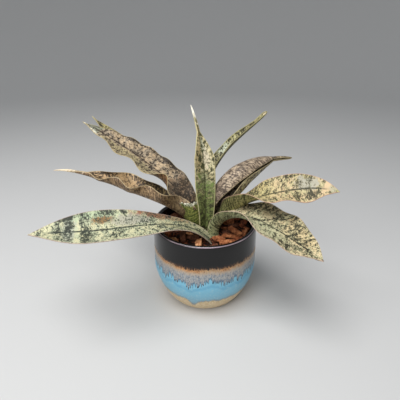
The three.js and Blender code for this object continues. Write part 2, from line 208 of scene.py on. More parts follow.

# Looks of the leaves. pale and pale_2 are the ground colours, dark that of the
# flecks and mid that around them. crowd is the usual crowding of the flecks from 0
# to 1, bands how far they gather in rows across the blade and coarse how large they
# are. Each entry of crowds is (place along, place across, reach along, reach across,
# more crowding), each of tints (the same four, colour, strength), with places along
# from 0 at the base to 1 and across from -1 at the right margin to 1. rib is the
# strength of the midrib line, net that of a net of dark lines with meshes of
# net_size millimetres, and under the ground and stripe colours of the lower face.
# dry is where the flecks end before a dry tip. Colours are screen values.
# A few of the tints and crowds below are painted shade, each marked where it stands.
LOOKS = {
    "leaf_centre": dict(
        pale=(214, 202, 162), pale_2=(182, 170, 128), mid=(136, 126, 88), dark=(58, 62, 32),
        crowd=0.38, bands=0.7, coarse=1.5, margin=(206, 196, 150), rib=0.7, net=0.55, net_size=(4, 6),
        under=((146, 142, 96), (62, 64, 40)), dry=(0.9, 0.84),
        crowds=[
            (0.6, 0.5, 0.16, 0.4, -0.06),
            (0.57, -0.2, 0.1, 0.35, -0.3),
            (0.1, 0.0, 0.24, 2.0, 0.22),
        ],
        tints=[
            (0.6, -0.2, 0.09, 0.35, (214, 200, 176), 0.7),
            (0.7, -0.1, 0.05, 0.35, (178, 180, 156), 0.7),
            (0.66, 0.6, 0.16, 0.4, (180, 158, 110), 0.7),
            (0.42, 0.0, 0.08, 0.5, (128, 140, 108), 0.5),
            (0.12, 0.0, 0.3, 2.5, (92, 118, 44), 0.9),
            (0.82, 0.0, 0.06, 3.0, (128, 98, 62), 0.8),
            (0.98, 0.0, 0.1, 4.0, (250, 244, 226), 1.0),
        ]),
    "leaf_left_upper": dict(
        pale=(200, 176, 142), pale_2=(166, 150, 126), mid=(128, 112, 92), dark=(56, 46, 36),
        crowd=0.38, bands=0.4, coarse=1.7, margin=(190, 174, 132), rib=0.9, net=0.3, net_size=(7, 9),
        under=((150, 120, 80), (70, 50, 34)),
        crowds=[
            # painted shade: more flecks at the base, where it lies against the centre leaf
            (0.16, -0.3, 0.14, 1.4, 0.42),
            (0.55, -1.0, 0.3, 0.16, 0.45),
            (0.42, -0.85, 0.07, 0.2, 0.3),
            (0.62, 0.6, 0.2, 0.4, 0.1),
        ],
        tints=[
            (0.62, 0.62, 0.24, 0.42, (178, 168, 122), 0.65),
            # painted shade: a darker brown at the base, where it lies against the centre leaf
            (0.16, -0.3, 0.15, 1.4, (122, 96, 72), 0.8),
            (0.93, 0.0, 0.06, 2.5, (124, 136, 118), 0.85),
            (0.93, 0.9, 0.06, 0.25, (232, 228, 208), 0.8),
            (0.34, 1.0, 0.06, 0.4, (128, 88, 54), 0.85),
            (1.0, 0.0, 0.02, 4.0, (240, 236, 222), 0.9),
        ]),
    "leaf_right_back": dict(
        pale=(184, 178, 130), pale_2=(152, 146, 104), mid=(112, 106, 70), dark=(46, 42, 28),
        crowd=0.55, bands=1.3, coarse=1.1, margin=(176, 168, 122), rib=0.3,
        under=((128, 122, 82), (50, 46, 30)),
        crowds=[(0.57, 0.4, 0.05, 1.0, -0.3)],
        tints=[
            (0.56, 0.5, 0.05, 1.2, (204, 212, 190), 0.8),
            (0.84, 0.0, 0.07, 2.0, (124, 108, 70), 0.5),
            (0.99, 0.0, 0.03, 4.0, (236, 216, 180), 0.9),
        ]),
    "leaf_right_rolled": dict(
        pale=(206, 190, 160), pale_2=(178, 164, 140), mid=(130, 112, 96), dark=(52, 42, 36),
        crowd=0.3, bands=0.0, coarse=1.3, margin=(180, 164, 124), rib=0.0, net=0.75, net_size=(4.5, 9),
        under=((192, 172, 146), (82, 68, 58)),
        # painted shade: more flecks near the base, among the other leaves
        crowds=[(0.2, 0.0, 0.15, 3.0, 0.2)],
        tints=[
            (0.62, -0.85, 0.32, 0.3, (184, 180, 136), 0.85),
            # painted shade: a darker brown near the base, among the other leaves
            (0.2, 0.3, 0.16, 2.0, (124, 104, 96), 0.6),
            (0.93, 0.0, 0.14, 3.0, (118, 110, 76), 0.85),
            (1.0, 0.0, 0.015, 4.0, (230, 214, 180), 0.8),
        ]),
    "leaf_left_hidden": dict(
        pale=(178, 166, 116), pale_2=(150, 140, 98), mid=(106, 98, 64), dark=(46, 42, 28),
        crowd=0.5, bands=0.8, coarse=1.2, margin=(170, 158, 116), rib=0.4, net=0.2, net_size=(5, 5),
        under=((134, 126, 86), (58, 54, 36)),
        crowds=[],
        tints=[(1.0, 0.0, 0.02, 4.0, (232, 226, 200), 0.9)]),
    "leaf_left_middle": dict(
        pale=(196, 164, 122), pale_2=(164, 136, 100), mid=(118, 96, 68), dark=(46, 38, 28),
        crowd=0.5, bands=0.6, coarse=1.2, margin=(204, 184, 146), rib=0.0, net=0.35, net_size=(5, 6),
        under=((158, 130, 98), (74, 58, 42)), dry=(0.92, 0.84),
        crowds=[
            (0.72, -0.8, 0.06, 0.3, 0.3),
            (0.51, -0.95, 0.05, 0.2, 0.25),
            (0.38, -0.85, 0.12, 0.3, 0.3),
            (0.55, -0.7, 0.08, 0.3, -0.2),
        ],
        tints=[
            (0.56, -0.75, 0.1, 0.4, (192, 160, 116), 0.7),
            (0.36, -0.85, 0.1, 0.4, (124, 114, 74), 0.65),
            (0.42, 0.8, 0.08, 0.35, (204, 172, 132), 0.6),
            (0.14, 0.0, 0.12, 2.5, (112, 102, 68), 0.6),
            (0.83, 0.0, 0.05, 3.0, (142, 110, 82), 0.7),
            (0.95, 0.0, 0.1, 4.0, (246, 230, 200), 0.95),
        ]),
    "leaf_right_middle": dict(
        pale=(212, 188, 146), pale_2=(204, 192, 146), mid=(160, 146, 102), dark=(62, 60, 42),
        crowd=0.37, bands=1.0, coarse=0.85, margin=(204, 164, 142), rib=1.0,
        under=((150, 144, 96), (48, 50, 28)),
        crowds=[
            (0.68, 0.9, 0.035, 0.22, 0.4),
            (0.59, 0.85, 0.06, 0.25, 0.15),
            (0.67, -0.05, 0.02, 0.16, 0.3),
            (0.79, -0.6, 0.12, 0.26, 0.35),
            (0.42, 0.3, 0.14, 1.2, 0.14),
            (0.92, 0.0, 0.03, 1.2, -0.4),
        ],
        tints=[
            (0.42, 0.3, 0.14, 1.2, (206, 196, 134), 0.5),
            (0.8, 0.42, 0.075, 0.5, (168, 172, 162), 0.75),
            (0.92, 0.0, 0.03, 1.2, (220, 192, 150), 0.8),
            (0.96, 0.1, 0.02, 1.2, (170, 172, 148), 0.7),
            (1.0, 0.0, 0.02, 2.0, (186, 196, 132), 0.8),
            (0.12, 0.0, 0.15, 3.0, (124, 128, 78), 0.7),
        ]),
    "leaf_stub": dict(
        pale=(160, 158, 104), pale_2=(126, 130, 76), mid=(94, 98, 54), dark=(46, 52, 28),
        crowd=0.45, bands=0.3, coarse=1.0, margin=(206, 196, 150), rib=0.0, net=0.4, net_size=(4, 5),
        under=((150, 152, 80), (66, 80, 34)),
        crowds=[],
        tints=[
            (0.1, 0.0, 0.4, 3.0, (88, 102, 50), 0.6),
            (1.0, 0.0, 0.06, 2.0, (244, 240, 220), 0.95),
        ]),
    "leaf_right_low": dict(
        pale=(226, 208, 166), pale_2=(210, 204, 162), mid=(138, 130, 94), dark=(32, 32, 22),
        crowd=0.43, bands=0.9, coarse=1.0, margin=(200, 172, 152), rib=1.0,
        under=((160, 164, 120), (46, 50, 32)),
        crowds=[
            # painted shade: more flecks under the back margin, where the blade arches over
            (0.42, 0.85, 0.14, 0.3, 0.25),
            (0.66, 0.5, 0.2, 0.4, 0.08),
            (0.66, 0.92, 0.03, 0.16, 0.4),
            (0.8, 0.5, 0.14, 0.5, 0.1),
            (0.74, -0.65, 0.1, 0.25, 0.2),
            (0.52, -0.5, 0.16, 0.45, -0.12),
        ],
        tints=[
            (0.5, -0.4, 0.22, 0.6, (196, 206, 168), 0.5),
            # painted shade: a darker brown under the back margin, where the blade arches over
            (0.45, 0.85, 0.15, 0.32, (136, 118, 84), 0.6),
            (0.78, 0.5, 0.14, 0.5, (222, 198, 148), 0.5),
            (1.0, 0.0, 0.012, 3.0, (250, 210, 190), 0.8),
        ]),
    "leaf_left_low": dict(
        pale=(216, 212, 172), pale_2=(198, 202, 168), mid=(140, 146, 116), dark=(40, 48, 42),
        crowd=0.38, bands=0.5, coarse=0.9, margin=(186, 162, 150), rib=1.0,
        under=((174, 178, 136), (66, 72, 52)),
        crowds=[
            (0.3, 0.0, 0.16, 2.0, 0.12),
            (0.81, 0.0, 0.028, 1.0, 0.42),
            (0.725, 0.35, 0.035, 0.7, 0.42),
            (0.745, -0.4, 0.02, 0.5, 0.3),
            (0.86, 0.1, 0.015, 0.8, 0.3),
            (0.8, -0.95, 0.075, 0.16, 0.55),
            (0.61, -0.88, 0.05, 0.16, 0.5),
            (0.52, -0.88, 0.02, 0.16, 0.4),
            (0.58, 0.5, 0.03, 0.35, 0.3),
            (0.77, 0.0, 0.02, 1.5, -0.35),
            (0.95, 0.0, 0.04, 2.0, 0.15),
        ],
        tints=[
            (0.81, 0.0, 0.03, 1.0, (152, 160, 154), 0.6),
            (0.68, -0.8, 0.12, 0.22, (178, 202, 164), 0.6),
            (0.64, -0.53, 0.06, 0.18, (140, 104, 60), 1.0),
            (0.3, -0.85, 0.14, 0.34, (150, 88, 64), 1.0),
            (0.47, -0.4, 0.11, 0.3, (166, 162, 152), 0.75),
            (0.14, 0.0, 0.16, 3.0, (160, 154, 116), 0.6),
        ]),
}


def linear(color, alpha=1.0):
    """Screen colour from 0 to 255 as the linear colour that shaders use."""
    def channel(value):
        value /= 255
        return value / 12.92 if value <= 0.04045 else ((value + 0.055) / 1.055) ** 2.4
    return tuple(channel(value) for value in color) + (alpha,)


class Shader:
    """A material under construction, with short calls for the nodes in use."""

    def __init__(self, name):
        self.material = bpy.data.materials.new(name)
        self.material.use_nodes = True
        self.tree = self.material.node_tree
        self.surface = self.tree.nodes["Principled BSDF"]

    def put(self, socket, value):
        if isinstance(value, bpy.types.NodeSocket):
            self.tree.links.new(value, socket)
        elif value is not None:
            socket.default_value = value

    def node(self, kind, inputs=None, **settings):
        node = self.tree.nodes.new(kind)
        for key, value in settings.items():
            setattr(node, key, value)
        for key, value in (inputs or {}).items():
            self.put(node.inputs[key], value)
        return node

    def attribute(self, name):
        return self.node("ShaderNodeAttribute", attribute_name=name).outputs["Vector"]

    def parts(self, vector):
        return self.node("ShaderNodeSeparateXYZ", {0: vector}).outputs

    def scaled(self, vector, scale, shift=(0, 0, 0)):
        node = self.node("ShaderNodeMapping", {"Vector": vector})
        node.inputs["Scale"].default_value = scale
        node.inputs["Location"].default_value = shift
        return node.outputs[0]

    def noise(self, vector, scale, detail, roughness, distortion=0.0):
        node = self.node("ShaderNodeTexNoise", {
            "Vector": vector, "Scale": scale, "Detail": detail,
            "Roughness": roughness, "Distortion": distortion})
        return node.outputs["Fac"]

    def veins(self, vector):
        """Distance to the borders of a pattern of cells about 1 across."""
        node = self.node("ShaderNodeTexVoronoi", {
            "Vector": vector, "Scale": 1.0, "Randomness": 1.0}, feature="DISTANCE_TO_EDGE")
        return node.outputs["Distance"]

    def length(self, vector):
        return self.node("ShaderNodeVectorMath", {0: vector}, operation="LENGTH").outputs["Value"]

    def shaken(self, vector, frequency, amount):
        """vector moved about unevenly by up to amount."""
        node = self.node("ShaderNodeTexNoise", {
            "Vector": self.scaled(vector, (frequency, frequency, 1)), "Scale": 1.0, "Detail": 3})
        centred = self.node("ShaderNodeVectorMath", {0: node.outputs["Color"], 1: (0.5, 0.5, 0.5)},
                            operation="SUBTRACT").outputs[0]
        return self.node("ShaderNodeVectorMath", {0: centred, 1: (amount, amount, 0), 2: vector},
                         operation="MULTIPLY_ADD").outputs[0]

    def sum(self, *terms):
        """Sum of (gain, value) terms, each value centred on 0.5."""
        total = None
        for gain, value in terms:
            term = self.math("MULTIPLY", self.math("SUBTRACT", value, 0.5), gain)
            total = term if total is None else self.math("ADD", total, term)
        return total

    def raised(self, start, *terms):
        """start with each (gain, value) term added as it is."""
        total = start
        for gain, value in terms:
            total = self.math("MULTIPLY_ADD", value, gain, total)
        return total

    def math(self, operation, a, b=None, c=None):
        node = self.node("ShaderNodeMath", operation=operation)
        self.put(node.inputs[0], a)
        self.put(node.inputs[1], b)
        self.put(node.inputs[2], c)
        return node.outputs[0]

    def spread(self, value, low, high, to_low=0.0, to_high=1.0, smooth=True):
        """value's span from low to high laid on to_low to to_high."""
        node = self.node("ShaderNodeMapRange", {
            "Value": value, "From Min": low, "From Max": high,
            "To Min": to_low, "To Max": to_high})
        node.interpolation_type = "SMOOTHSTEP" if smooth else "LINEAR"
        return node.outputs[0]

    def ramp(self, value, stops):
        node = self.node("ShaderNodeValToRGB", {"Fac": value})
        elements = node.color_ramp.elements
        while len(elements) < len(stops):
            elements.new(0.5)
        for element, (place, color) in zip(elements, stops):
            element.position = place
            element.color = linear(color)
        return node.outputs["Color"]

    def mix(self, share, a, b):
        """Colour a, turned to b as far as share says."""
        node = self.node("ShaderNodeMix", data_type="RGBA")
        self.put(node.inputs["Factor"], share)
        self.put(node.inputs[6], a)
        self.put(node.inputs[7], b)
        return node.outputs[2]

    def bump(self, height, distance, strength):
        node = self.node("ShaderNodeBump", {"Height": height, "Distance": distance, "Strength": strength})
        return node.outputs["Normal"]


def bezier(controls, t):
    """A smooth curve through the first and last control value, at each t."""
    values = [np.full_like(t, float(value)) for value in controls]
    while len(values) > 1:
        values = [a * (1 - t) + b * t for a, b in zip(values[:-1], values[1:])]
    return values[0]


def width_share(leaf, t):
    """Share of the half width that the blade has at t."""
    up = np.clip(t / leaf["peak"], 0, 1)
    blade_end = 1 - leaf["awn"]
    down = np.clip((t - leaf["peak"]) / (blade_end - leaf["peak"]), 0, 1)
    rising = leaf["base_share"] + (1 - leaf["base_share"]) * up * up * (3 - 2 * up)
    blade = np.where(t < leaf["peak"], rising, 1 - down ** leaf["fullness"])
    past = np.clip((t - blade_end) / max(leaf["awn"], 0.02), 0, 1)
    dry_tip = leaf["awn_share"] * (1 - 0.6 * past) * np.sqrt(1 - past ** 6 * 0.9)
    return np.maximum(blade, dry_tip)


def leaf_frames(leaf, t):
    """Midrib direction, side direction, upward normal and midrib points."""
    rise = np.radians(bezier(leaf["rise"], t))
    heading = np.radians(bezier(leaf["heading"], t))
    roll = np.radians(bezier(leaf["roll"], t))[:, None]
    along = np.stack([np.cos(rise) * np.cos(heading), np.cos(rise) * np.sin(heading), np.sin(rise)], -1)
    flat_side = np.stack([-np.sin(heading), np.cos(heading), 0 * heading], -1)
    flat_up = np.cross(along, flat_side)
    side = np.cos(roll) * flat_side + np.sin(roll) * flat_up
    up = np.cos(roll) * flat_up - np.sin(roll) * flat_side
    steps = (along[1:] + along[:-1]) / 2 * leaf["length"] / (len(t) - 1)
    spine = np.array(leaf["base"]) + np.concatenate([[(0, 0, 0)], np.cumsum(steps, 0)])
    return along, side, up, spine


def margin_wave(leaf, t, margin):
    turns = leaf["waves"][margin] * t
    return leaf["ruffle"][margin] * np.sin(2 * np.pi * turns + math.radians(leaf["phase"][margin]))


def skin_ridges(leaf, t, v, half, seed):
    """Slight unevenness of both skins."""
    ridges = np.empty((len(t), len(v)))
    for i, place in enumerate(t):
        for j, across in enumerate(v):
            point = (across * half[i] * 0.45, place * leaf["length"] * 0.035, seed)
            ridges[i, j] = noise.noise(point)
    return RIDGE_HEIGHT * ridges * np.clip(half / 8, 0, 1)[:, None]


def leaf_middle(leaf, t, v, radius, turn, seed):
    """Points and normals of the sheet halfway between the two skins."""
    along, side, up, spine = leaf_frames(leaf, t)
    out = radius * np.sin(turn)
    lift = radius * (1 - np.cos(turn))
    # a creased blade has straighter halves that meet at the midrib
    quarter = np.radians(bezier(leaf["curl"], t))[:, None] / 4
    chord = 2 * radius * np.sin(quarter)
    crease = leaf["crease"]
    soft = np.sqrt(v[None] ** 2 + 0.004) - math.sqrt(0.004)
    out = (1 - crease) * out + crease * v[None] * chord * np.cos(quarter)
    lift = (1 - crease) * lift + crease * soft * chord * np.sin(quarter)
    # ruffled and folded margins
    fade = np.clip(t / 0.2, 0, 1) * np.clip((1 - t) / 0.15, 0, 1) * np.sqrt(width_share(leaf, t))
    left_wave = margin_wave(leaf, t, 0)[:, None]
    right_wave = margin_wave(leaf, t, 1)[:, None]
    wave = np.where(v[None] > 0, left_wave, right_wave) * v[None] ** 2 * fade[:, None]
    for margin, place, reach, outwards, upwards in leaf.get("folds", []):
        near_fold = np.exp(-((t - place) / reach) ** 2)[:, None] * np.clip(v[None] * margin, 0, 1) ** 3
        out = out + margin * outwards * near_fold
        wave = wave + upwards * near_fold
    normal = np.cos(turn)[..., None] * up[:, None] - np.sin(turn)[..., None] * side[:, None]
    middle = spine[:, None] + out[..., None] * side[:, None] + lift[..., None] * up[:, None]
    middle = middle + wave[..., None] * normal
    if "fray" in leaf:
        teeth = np.array([noise.noise((3.1 * j, seed, 0.5)) for j in range(len(v))])
        last = np.clip((t - 0.8) / 0.2, 0, 1)
        middle = middle + (leaf["fray"] * teeth[None] * last[:, None])[..., None] * along[:, None]
    return middle, normal


def leaf_surface(leaf, seed):
    """Upper and lower skin points, with their place on the blade."""
    t = np.linspace(0, 1, RINGS)
    v = np.sin(np.linspace(-math.pi / 2, math.pi / 2, STATIONS))
    half = leaf["half"] * width_share(leaf, t)
    arc = np.radians(bezier(leaf["curl"], t))[:, None]
    radius = 2 * half[:, None] / arc
    middle, normal = leaf_middle(leaf, t, v, radius, v[None] * arc / 2, seed)
    full = LEAF_THICKNESS * (1 - (1 - MARGIN_SHARE) * v[None] ** 2)
    thick = np.minimum(np.minimum(full, half[:, None] * 0.9), radius * 1.3) / 2
    uneven = skin_ridges(leaf, t, v, half, seed)
    upper = middle + (thick + uneven)[..., None] * normal
    lower = middle - (thick - uneven)[..., None] * normal
    place = np.stack([v[None] * half[:, None], t[:, None] * leaf["length"] + 0 * v[None]], -1)
    shares = np.stack([v[None] + 0 * t[:, None], t[:, None] + 0 * v[None]], -1)
    edge = (1 - np.abs(v))[None] * half[:, None]
    return upper, lower, place, shares, edge


def leaf_object(name, leaf, seed):
    upper, lower, place, shares, edge = leaf_surface(leaf, seed)
    count = RINGS * STATIONS
    vertices = np.concatenate([upper.reshape(-1, 3), lower.reshape(-1, 3)]) * MM
    faces = []
    last = STATIONS - 1
    for i in range(RINGS - 1):
        for j in range(last):
            a = i * STATIONS + j
            b = a + STATIONS
            faces.append((a, b, b + 1, a + 1))
            faces.append((a + count, a + 1 + count, b + 1 + count, b + count))
        a = i * STATIONS
        b = a + STATIONS
        faces.append((a, a + count, b + count, b))
        faces.append((a + last, b + last, b + last + count, a + last + count))
    end = (RINGS - 1) * STATIONS
    for j in range(last):
        faces.append((j, j + 1, j + 1 + count, j + count))
        faces.append((end + j, end + j + count, end + j + 1 + count, end + j + 1))
    blade = np.concatenate([place.reshape(-1, 2), place.reshape(-1, 2)])
    blade = np.column_stack([blade, np.full(len(blade), 37.0 * seed)])
    # the third share is 1 on the upper face and 0 on the lower one
    face_side = np.concatenate([np.ones(count), np.zeros(count)])
    parts = np.column_stack([np.concatenate([shares.reshape(-1, 2)] * 2), face_side])
    edges = np.column_stack([np.concatenate([edge.ravel()] * 2), np.zeros((2 * count, 2))])
    piece = mesh_object(name, vertices, faces, {"blade": blade, "share": parts, "edge": edges})
    fix_normals(piece)
    return piece


def mesh_object(name, vertices, faces, attributes=None, smooth=True):
    mesh = bpy.data.meshes.new(name)
    mesh.from_pydata([tuple(v) for v in vertices], [], faces)
    for key, values in (attributes or {}).items():
        layer = mesh.attributes.new(key, "FLOAT_VECTOR", "POINT")
        layer.data.foreach_set("vector", np.asarray(values, dtype=np.float32).ravel())
    mesh.polygons.foreach_set("use_smooth", [smooth] * len(mesh.polygons))
    mesh.update()
    piece = bpy.data.objects.new(name, mesh)
    bpy.context.scene.collection.objects.link(piece)
    return piece


def fix_normals(piece):
    """Turns a closed mesh's faces outwards."""
    mesh = piece.data
    mesh.calc_loop_triangles()
    points = np.empty(len(mesh.vertices) * 3)
    mesh.vertices.foreach_get("co", points)
    points = points.reshape(-1, 3)
    corners = np.empty(len(mesh.loop_triangles) * 3, dtype=np.int32)
    mesh.loop_triangles.foreach_get("vertices", corners)
    a, b, c = (points[corners.reshape(-1, 3)[:, k]] for k in range(3))
    if (a * np.cross(b, c)).sum() < 0:
        mesh.flip_normals()


def leaf_fields(s, look):
    """Places on the blade, and the noises that the colours of a leaf are made from."""
    f = SimpleNamespace(blade=s.attribute("blade"), share=s.attribute("share"))
    across, along, seed = s.parts(f.blade)
    f.t = s.parts(f.share)[1]
    f.upper = s.parts(f.share)[2]
    f.rib_away = s.math("ABSOLUTE", across)
    f.edge_away = s.parts(s.attribute("edge"))[0]
    fleck_scale = [scale / look["coarse"] for scale in FLECK_SCALE] + [1]
    slanted = s.node("ShaderNodeCombineXYZ", {
        "X": across, "Y": s.math("MULTIPLY_ADD", f.rib_away, BAND_SLANT, along), "Z": seed}).outputs[0]
    f.blotches = s.noise(s.scaled(f.blade, BLOTCH_SCALE), 1.0, 2, 0.5, 0.6)
    f.flecks = s.noise(s.scaled(f.blade, fleck_scale), 1.0, 4, 0.72, 0.8)
    f.grains = s.noise(s.scaled(f.blade, GRAIN_SCALE), 1.0, 2, 0.6)
    f.streaks = s.noise(s.scaled(f.blade, STREAK_SCALE), 1.0, 3, 0.6)
    f.bands = s.noise(s.scaled(slanted, BAND_SCALE), 1.0, 2, 0.6, 0.7)
    f.stripes = s.noise(s.scaled(slanted, STRIPE_SCALE), 1.0, 2, 0.6, 0.9)
    f.wobble = s.sum((2.4, f.flecks), (2.4, f.blotches))
    f.fresh = s.spread(f.t, *look["dry"]) if "dry" in look else 1.0
    return f


def near(s, f, place):
    """1 in an uneven patch of a blade and 0 away from it."""
    along, across, reach_along, reach_across = place
    scale = (1 / reach_across, 1 / reach_along, 0)
    shift = (-across / reach_across, -along / reach_along, 0)
    away = s.length(s.scaled(f.share, scale, shift))
    return s.spread(s.math("ADD", away, f.wobble), 1.2, 0.6)


def tinted(s, f, look, color, strength):
    """color under the tinted patches of the leaf."""
    for *place, tint, cover in look["tints"]:
        color = s.mix(s.math("MULTIPLY", near(s, f, place), cover * strength), color, linear(tint))
    return color


def mottling(s, f, look):
    """How dark the mottling of the upper face is, with flecks above 0."""
    crowd = look["crowd"]
    for *place, more in look["crowds"]:
        crowd = s.math("ADD", crowd, s.math("MULTIPLY", near(s, f, place), more))
    return s.sum((1.9, f.flecks), (0.8, f.blotches), (0.9, f.grains), (look["bands"], f.bands), (0.5, crowd))


def upper_color(s, f, look, mottle):
    """Pale ground with dark flecks, each with a softer rim around it."""
    ground = s.mix(s.spread(f.blotches, 0.44, 0.56), linear(look["pale"]), linear(look["pale_2"]))
    ground = tinted(s, f, look, ground, 1.0)
    rim_color = s.mix(0.6, ground, linear(look["mid"]))
    ground = s.mix(s.spread(f.grains, 0.46, 0.62, 0.0, 0.4), ground, rim_color)
    rim_cover = s.math("MULTIPLY", s.spread(mottle, -0.09, -0.02, 0.0, 0.85), f.fresh)
    fleck_cover = s.math("MULTIPLY", s.spread(mottle, 0.0, 0.05, 0.0, 0.92), f.fresh)
    deep = linear([0.5 * channel for channel in look["dark"]])
    fleck_color = s.mix(s.spread(mottle, 0.08, 0.2, 0.0, 0.8), linear(look["dark"]), deep)
    return s.mix(fleck_cover, s.mix(rim_cover, ground, rim_color), fleck_color)


def lower_color(s, f, look):
    """Lower face, with fine stripes across it and streaks along it."""
    ground, dark = look["under"]
    mottle = s.sum((2.0, f.stripes), (0.8, f.streaks), (1.0, f.flecks), (1.0, f.grains))
    cover = s.math("MULTIPLY", s.spread(mottle, -0.09, 0.13, 0.0, 0.95), f.fresh)
    return s.mix(cover, tinted(s, f, look, linear(ground), 0.8), linear(dark))


def net_cover(s, f, look):
    """A net of dark lines, broken up by the flecks."""
    wide, long = look["net_size"]
    cells = s.veins(s.scaled(s.shaken(f.blade, 0.16, 6), (1 / wide, 1 / long, 1)))
    line = s.math("MULTIPLY", s.spread(cells, 0.14, 0.03, 0.0, look["net"]), s.spread(f.flecks, 0.36, 0.5))
    return s.math("MULTIPLY", line, f.fresh)


def rib_cover(s, f, look):
    """The midrib line of the upper face, broken up by the flecks."""
    line = s.spread(f.rib_away, 1.7, 0.6, 0.0, look["rib"])
    line = s.math("MULTIPLY", line, s.spread(f.flecks, 0.36, 0.5, 0.4, 1.0))
    return s.math("MULTIPLY", s.math("MULTIPLY", line, f.upper), s.spread(f.t, 0.96, 0.86))


def leaf_material(name, look):
    s = Shader(name)
    f = leaf_fields(s, look)
    dark = linear(look["dark"])
    mottle = mottling(s, f, look)
    upper = upper_color(s, f, look, mottle)
    lower = lower_color(s, f, look)
    if "net" in look:
        net = net_cover(s, f, look)
        upper = s.mix(net, upper, dark)
        lower = s.mix(net, lower, dark)
    color = s.mix(s.math("GREATER_THAN", f.upper, 0.5), lower, upper)
    color = s.mix(rib_cover(s, f, look), color, dark)
    margin = s.math("MULTIPLY", s.spread(f.edge_away, 0.7, 0.2, 0.0, 0.7), f.fresh)
    color = s.mix(margin, color, linear(look["margin"]))
    s.put(s.surface.inputs["Base Color"], color)
    s.put(s.surface.inputs["Roughness"], s.spread(mottle, -0.1, 0.1, 0.5, 0.64))
    s.surface.inputs["Specular IOR Level"].default_value = 0.35
    height = s.math("ADD", s.math("MULTIPLY", f.streaks, 0.5), s.math("MULTIPLY", f.flecks, 0.5))
    s.put(s.surface.inputs["Normal"], s.bump(height, 0.0008, 0.55))
    return s.material


def pot_radius(z):
    """Outer radius at height z."""
    if z >= POT_BELLY_HEIGHT:
        share = (z - POT_BELLY_HEIGHT) / (POT_HEIGHT - POT_BELLY_HEIGHT)
        return POT_BELLY_RADIUS + (POT_RIM_RADIUS - POT_BELLY_RADIUS) * share * share
    low = 1 - z / POT_BELLY_HEIGHT
    curve = (1 - low ** POT_CURVE_POWER) ** (1 / POT_CURVE_POWER)
    return POT_BASE_RADIUS + (POT_BELLY_RADIUS - POT_BASE_RADIUS) * curve


def pot_profile():
    """Outline of the wall as radius and height, from the axis round to the axis."""
    foot = POT_FOOT_ROUNDING
    points = [(r, 0.0) for r in np.linspace(0, POT_BASE_RADIUS - foot, 8)]
    for angle in np.linspace(-80, 0, 5):
        turn = math.radians(angle)
        points.append((POT_BASE_RADIUS - foot + foot * math.cos(turn) + 0.3, foot + foot * math.sin(turn)))
    for z in list(np.linspace(2, 20, 14)) + list(np.linspace(22, POT_HEIGHT - 2 * POT_LIP, 30)):
        points.append((pot_radius(z), z))
    for angle in np.linspace(0, 180, 17):
        turn = math.radians(angle)
        points.append((POT_RIM_RADIUS - POT_LIP + POT_LIP * math.cos(turn),
                       POT_HEIGHT - POT_LIP + POT_LIP * math.sin(turn)))
    for z in np.linspace(POT_HEIGHT - 3 * POT_LIP, POT_FLOOR + 5, 24):
        points.append((pot_radius(z) - POT_WALL, z))
    inner = pot_radius(POT_FLOOR) - POT_WALL - 4
    points += [(r, POT_FLOOR) for r in np.linspace(inner, 0, 6)]
    return points


def lathe_object(name, profile, sides):
    """A turned body from a profile that starts and ends on the axis."""
    ring_points = profile[1:-1]
    vertices = [(0, 0, profile[0][1] * MM)]
    for radius, z in ring_points:
        for k in range(sides):
            angle = 2 * math.pi * k / sides
            lump = noise.noise((2 * math.cos(angle), 2 * math.sin(angle), z * 0.05))
            uneven = 1 + POT_UNEVENNESS * lump
            vertices.append((radius * uneven * math.cos(angle) * MM,
                             radius * uneven * math.sin(angle) * MM, z * MM))
    vertices.append((0, 0, profile[-1][1] * MM))
    faces = []
    rings = len(ring_points)
    for i in range(rings - 1):
        for k in range(sides):
            a = 1 + i * sides + k
            b = 1 + i * sides + (k + 1) % sides
            faces.append((a, b, b + sides, a + sides))
    end = 1 + (rings - 1) * sides
    for k in range(sides):
        after = (k + 1) % sides
        faces.append((0, 1 + after, 1 + k))
        faces.append((end + k, end + after, len(vertices) - 1))
    piece = mesh_object(name, vertices, faces)
    fix_normals(piece)
    return piece


def glaze(name):
    return linear(GLAZES[name])


def glaze_fields(s):
    """Place on the pot in millimetres, and the noises that the glaze is made from."""
    place = s.node("ShaderNodeTexCoord").outputs["Object"]
    columns = s.scaled(place, (1000, 1000, 60))
    f = SimpleNamespace()
    f.x, f.y, f.z = s.parts(s.scaled(place, (1000, 1000, 1000)))
    f.slow = s.noise(columns, 0.035, 2, 0.5)
    f.middle = s.noise(columns, 0.17, 2, 0.6)
    f.fast = s.noise(columns, 0.72, 2, 0.6)
    f.strands = s.noise(s.scaled(place, (1000, 1000, 220)), 1.1, 2, 0.6)
    f.grain = s.noise(place, 1000, 3, 0.7)
    f.specks = s.noise(place, 420, 2, 0.7)
    return f


def blue_glaze(s, f):
    """Blue, with a darker line that follows the runs."""
    run_line = s.math("SUBTRACT", f.z, s.raised(GLAZE_LINE, (26, f.slow), (3, f.middle)))
    blue = s.ramp(s.spread(s.raised(f.z, (5, f.middle)), 18, 58, smooth=False), BLUES)
    shade = s.math("MULTIPLY", s.spread(s.math("ABSOLUTE", run_line), 3.6, 0.4), 0.5)
    blue = s.mix(shade, blue, glaze("blue_line"))
    return s.mix(s.spread(f.specks, 0.5, 0.72, 0.0, 0.5), blue, glaze("blue_specks"))


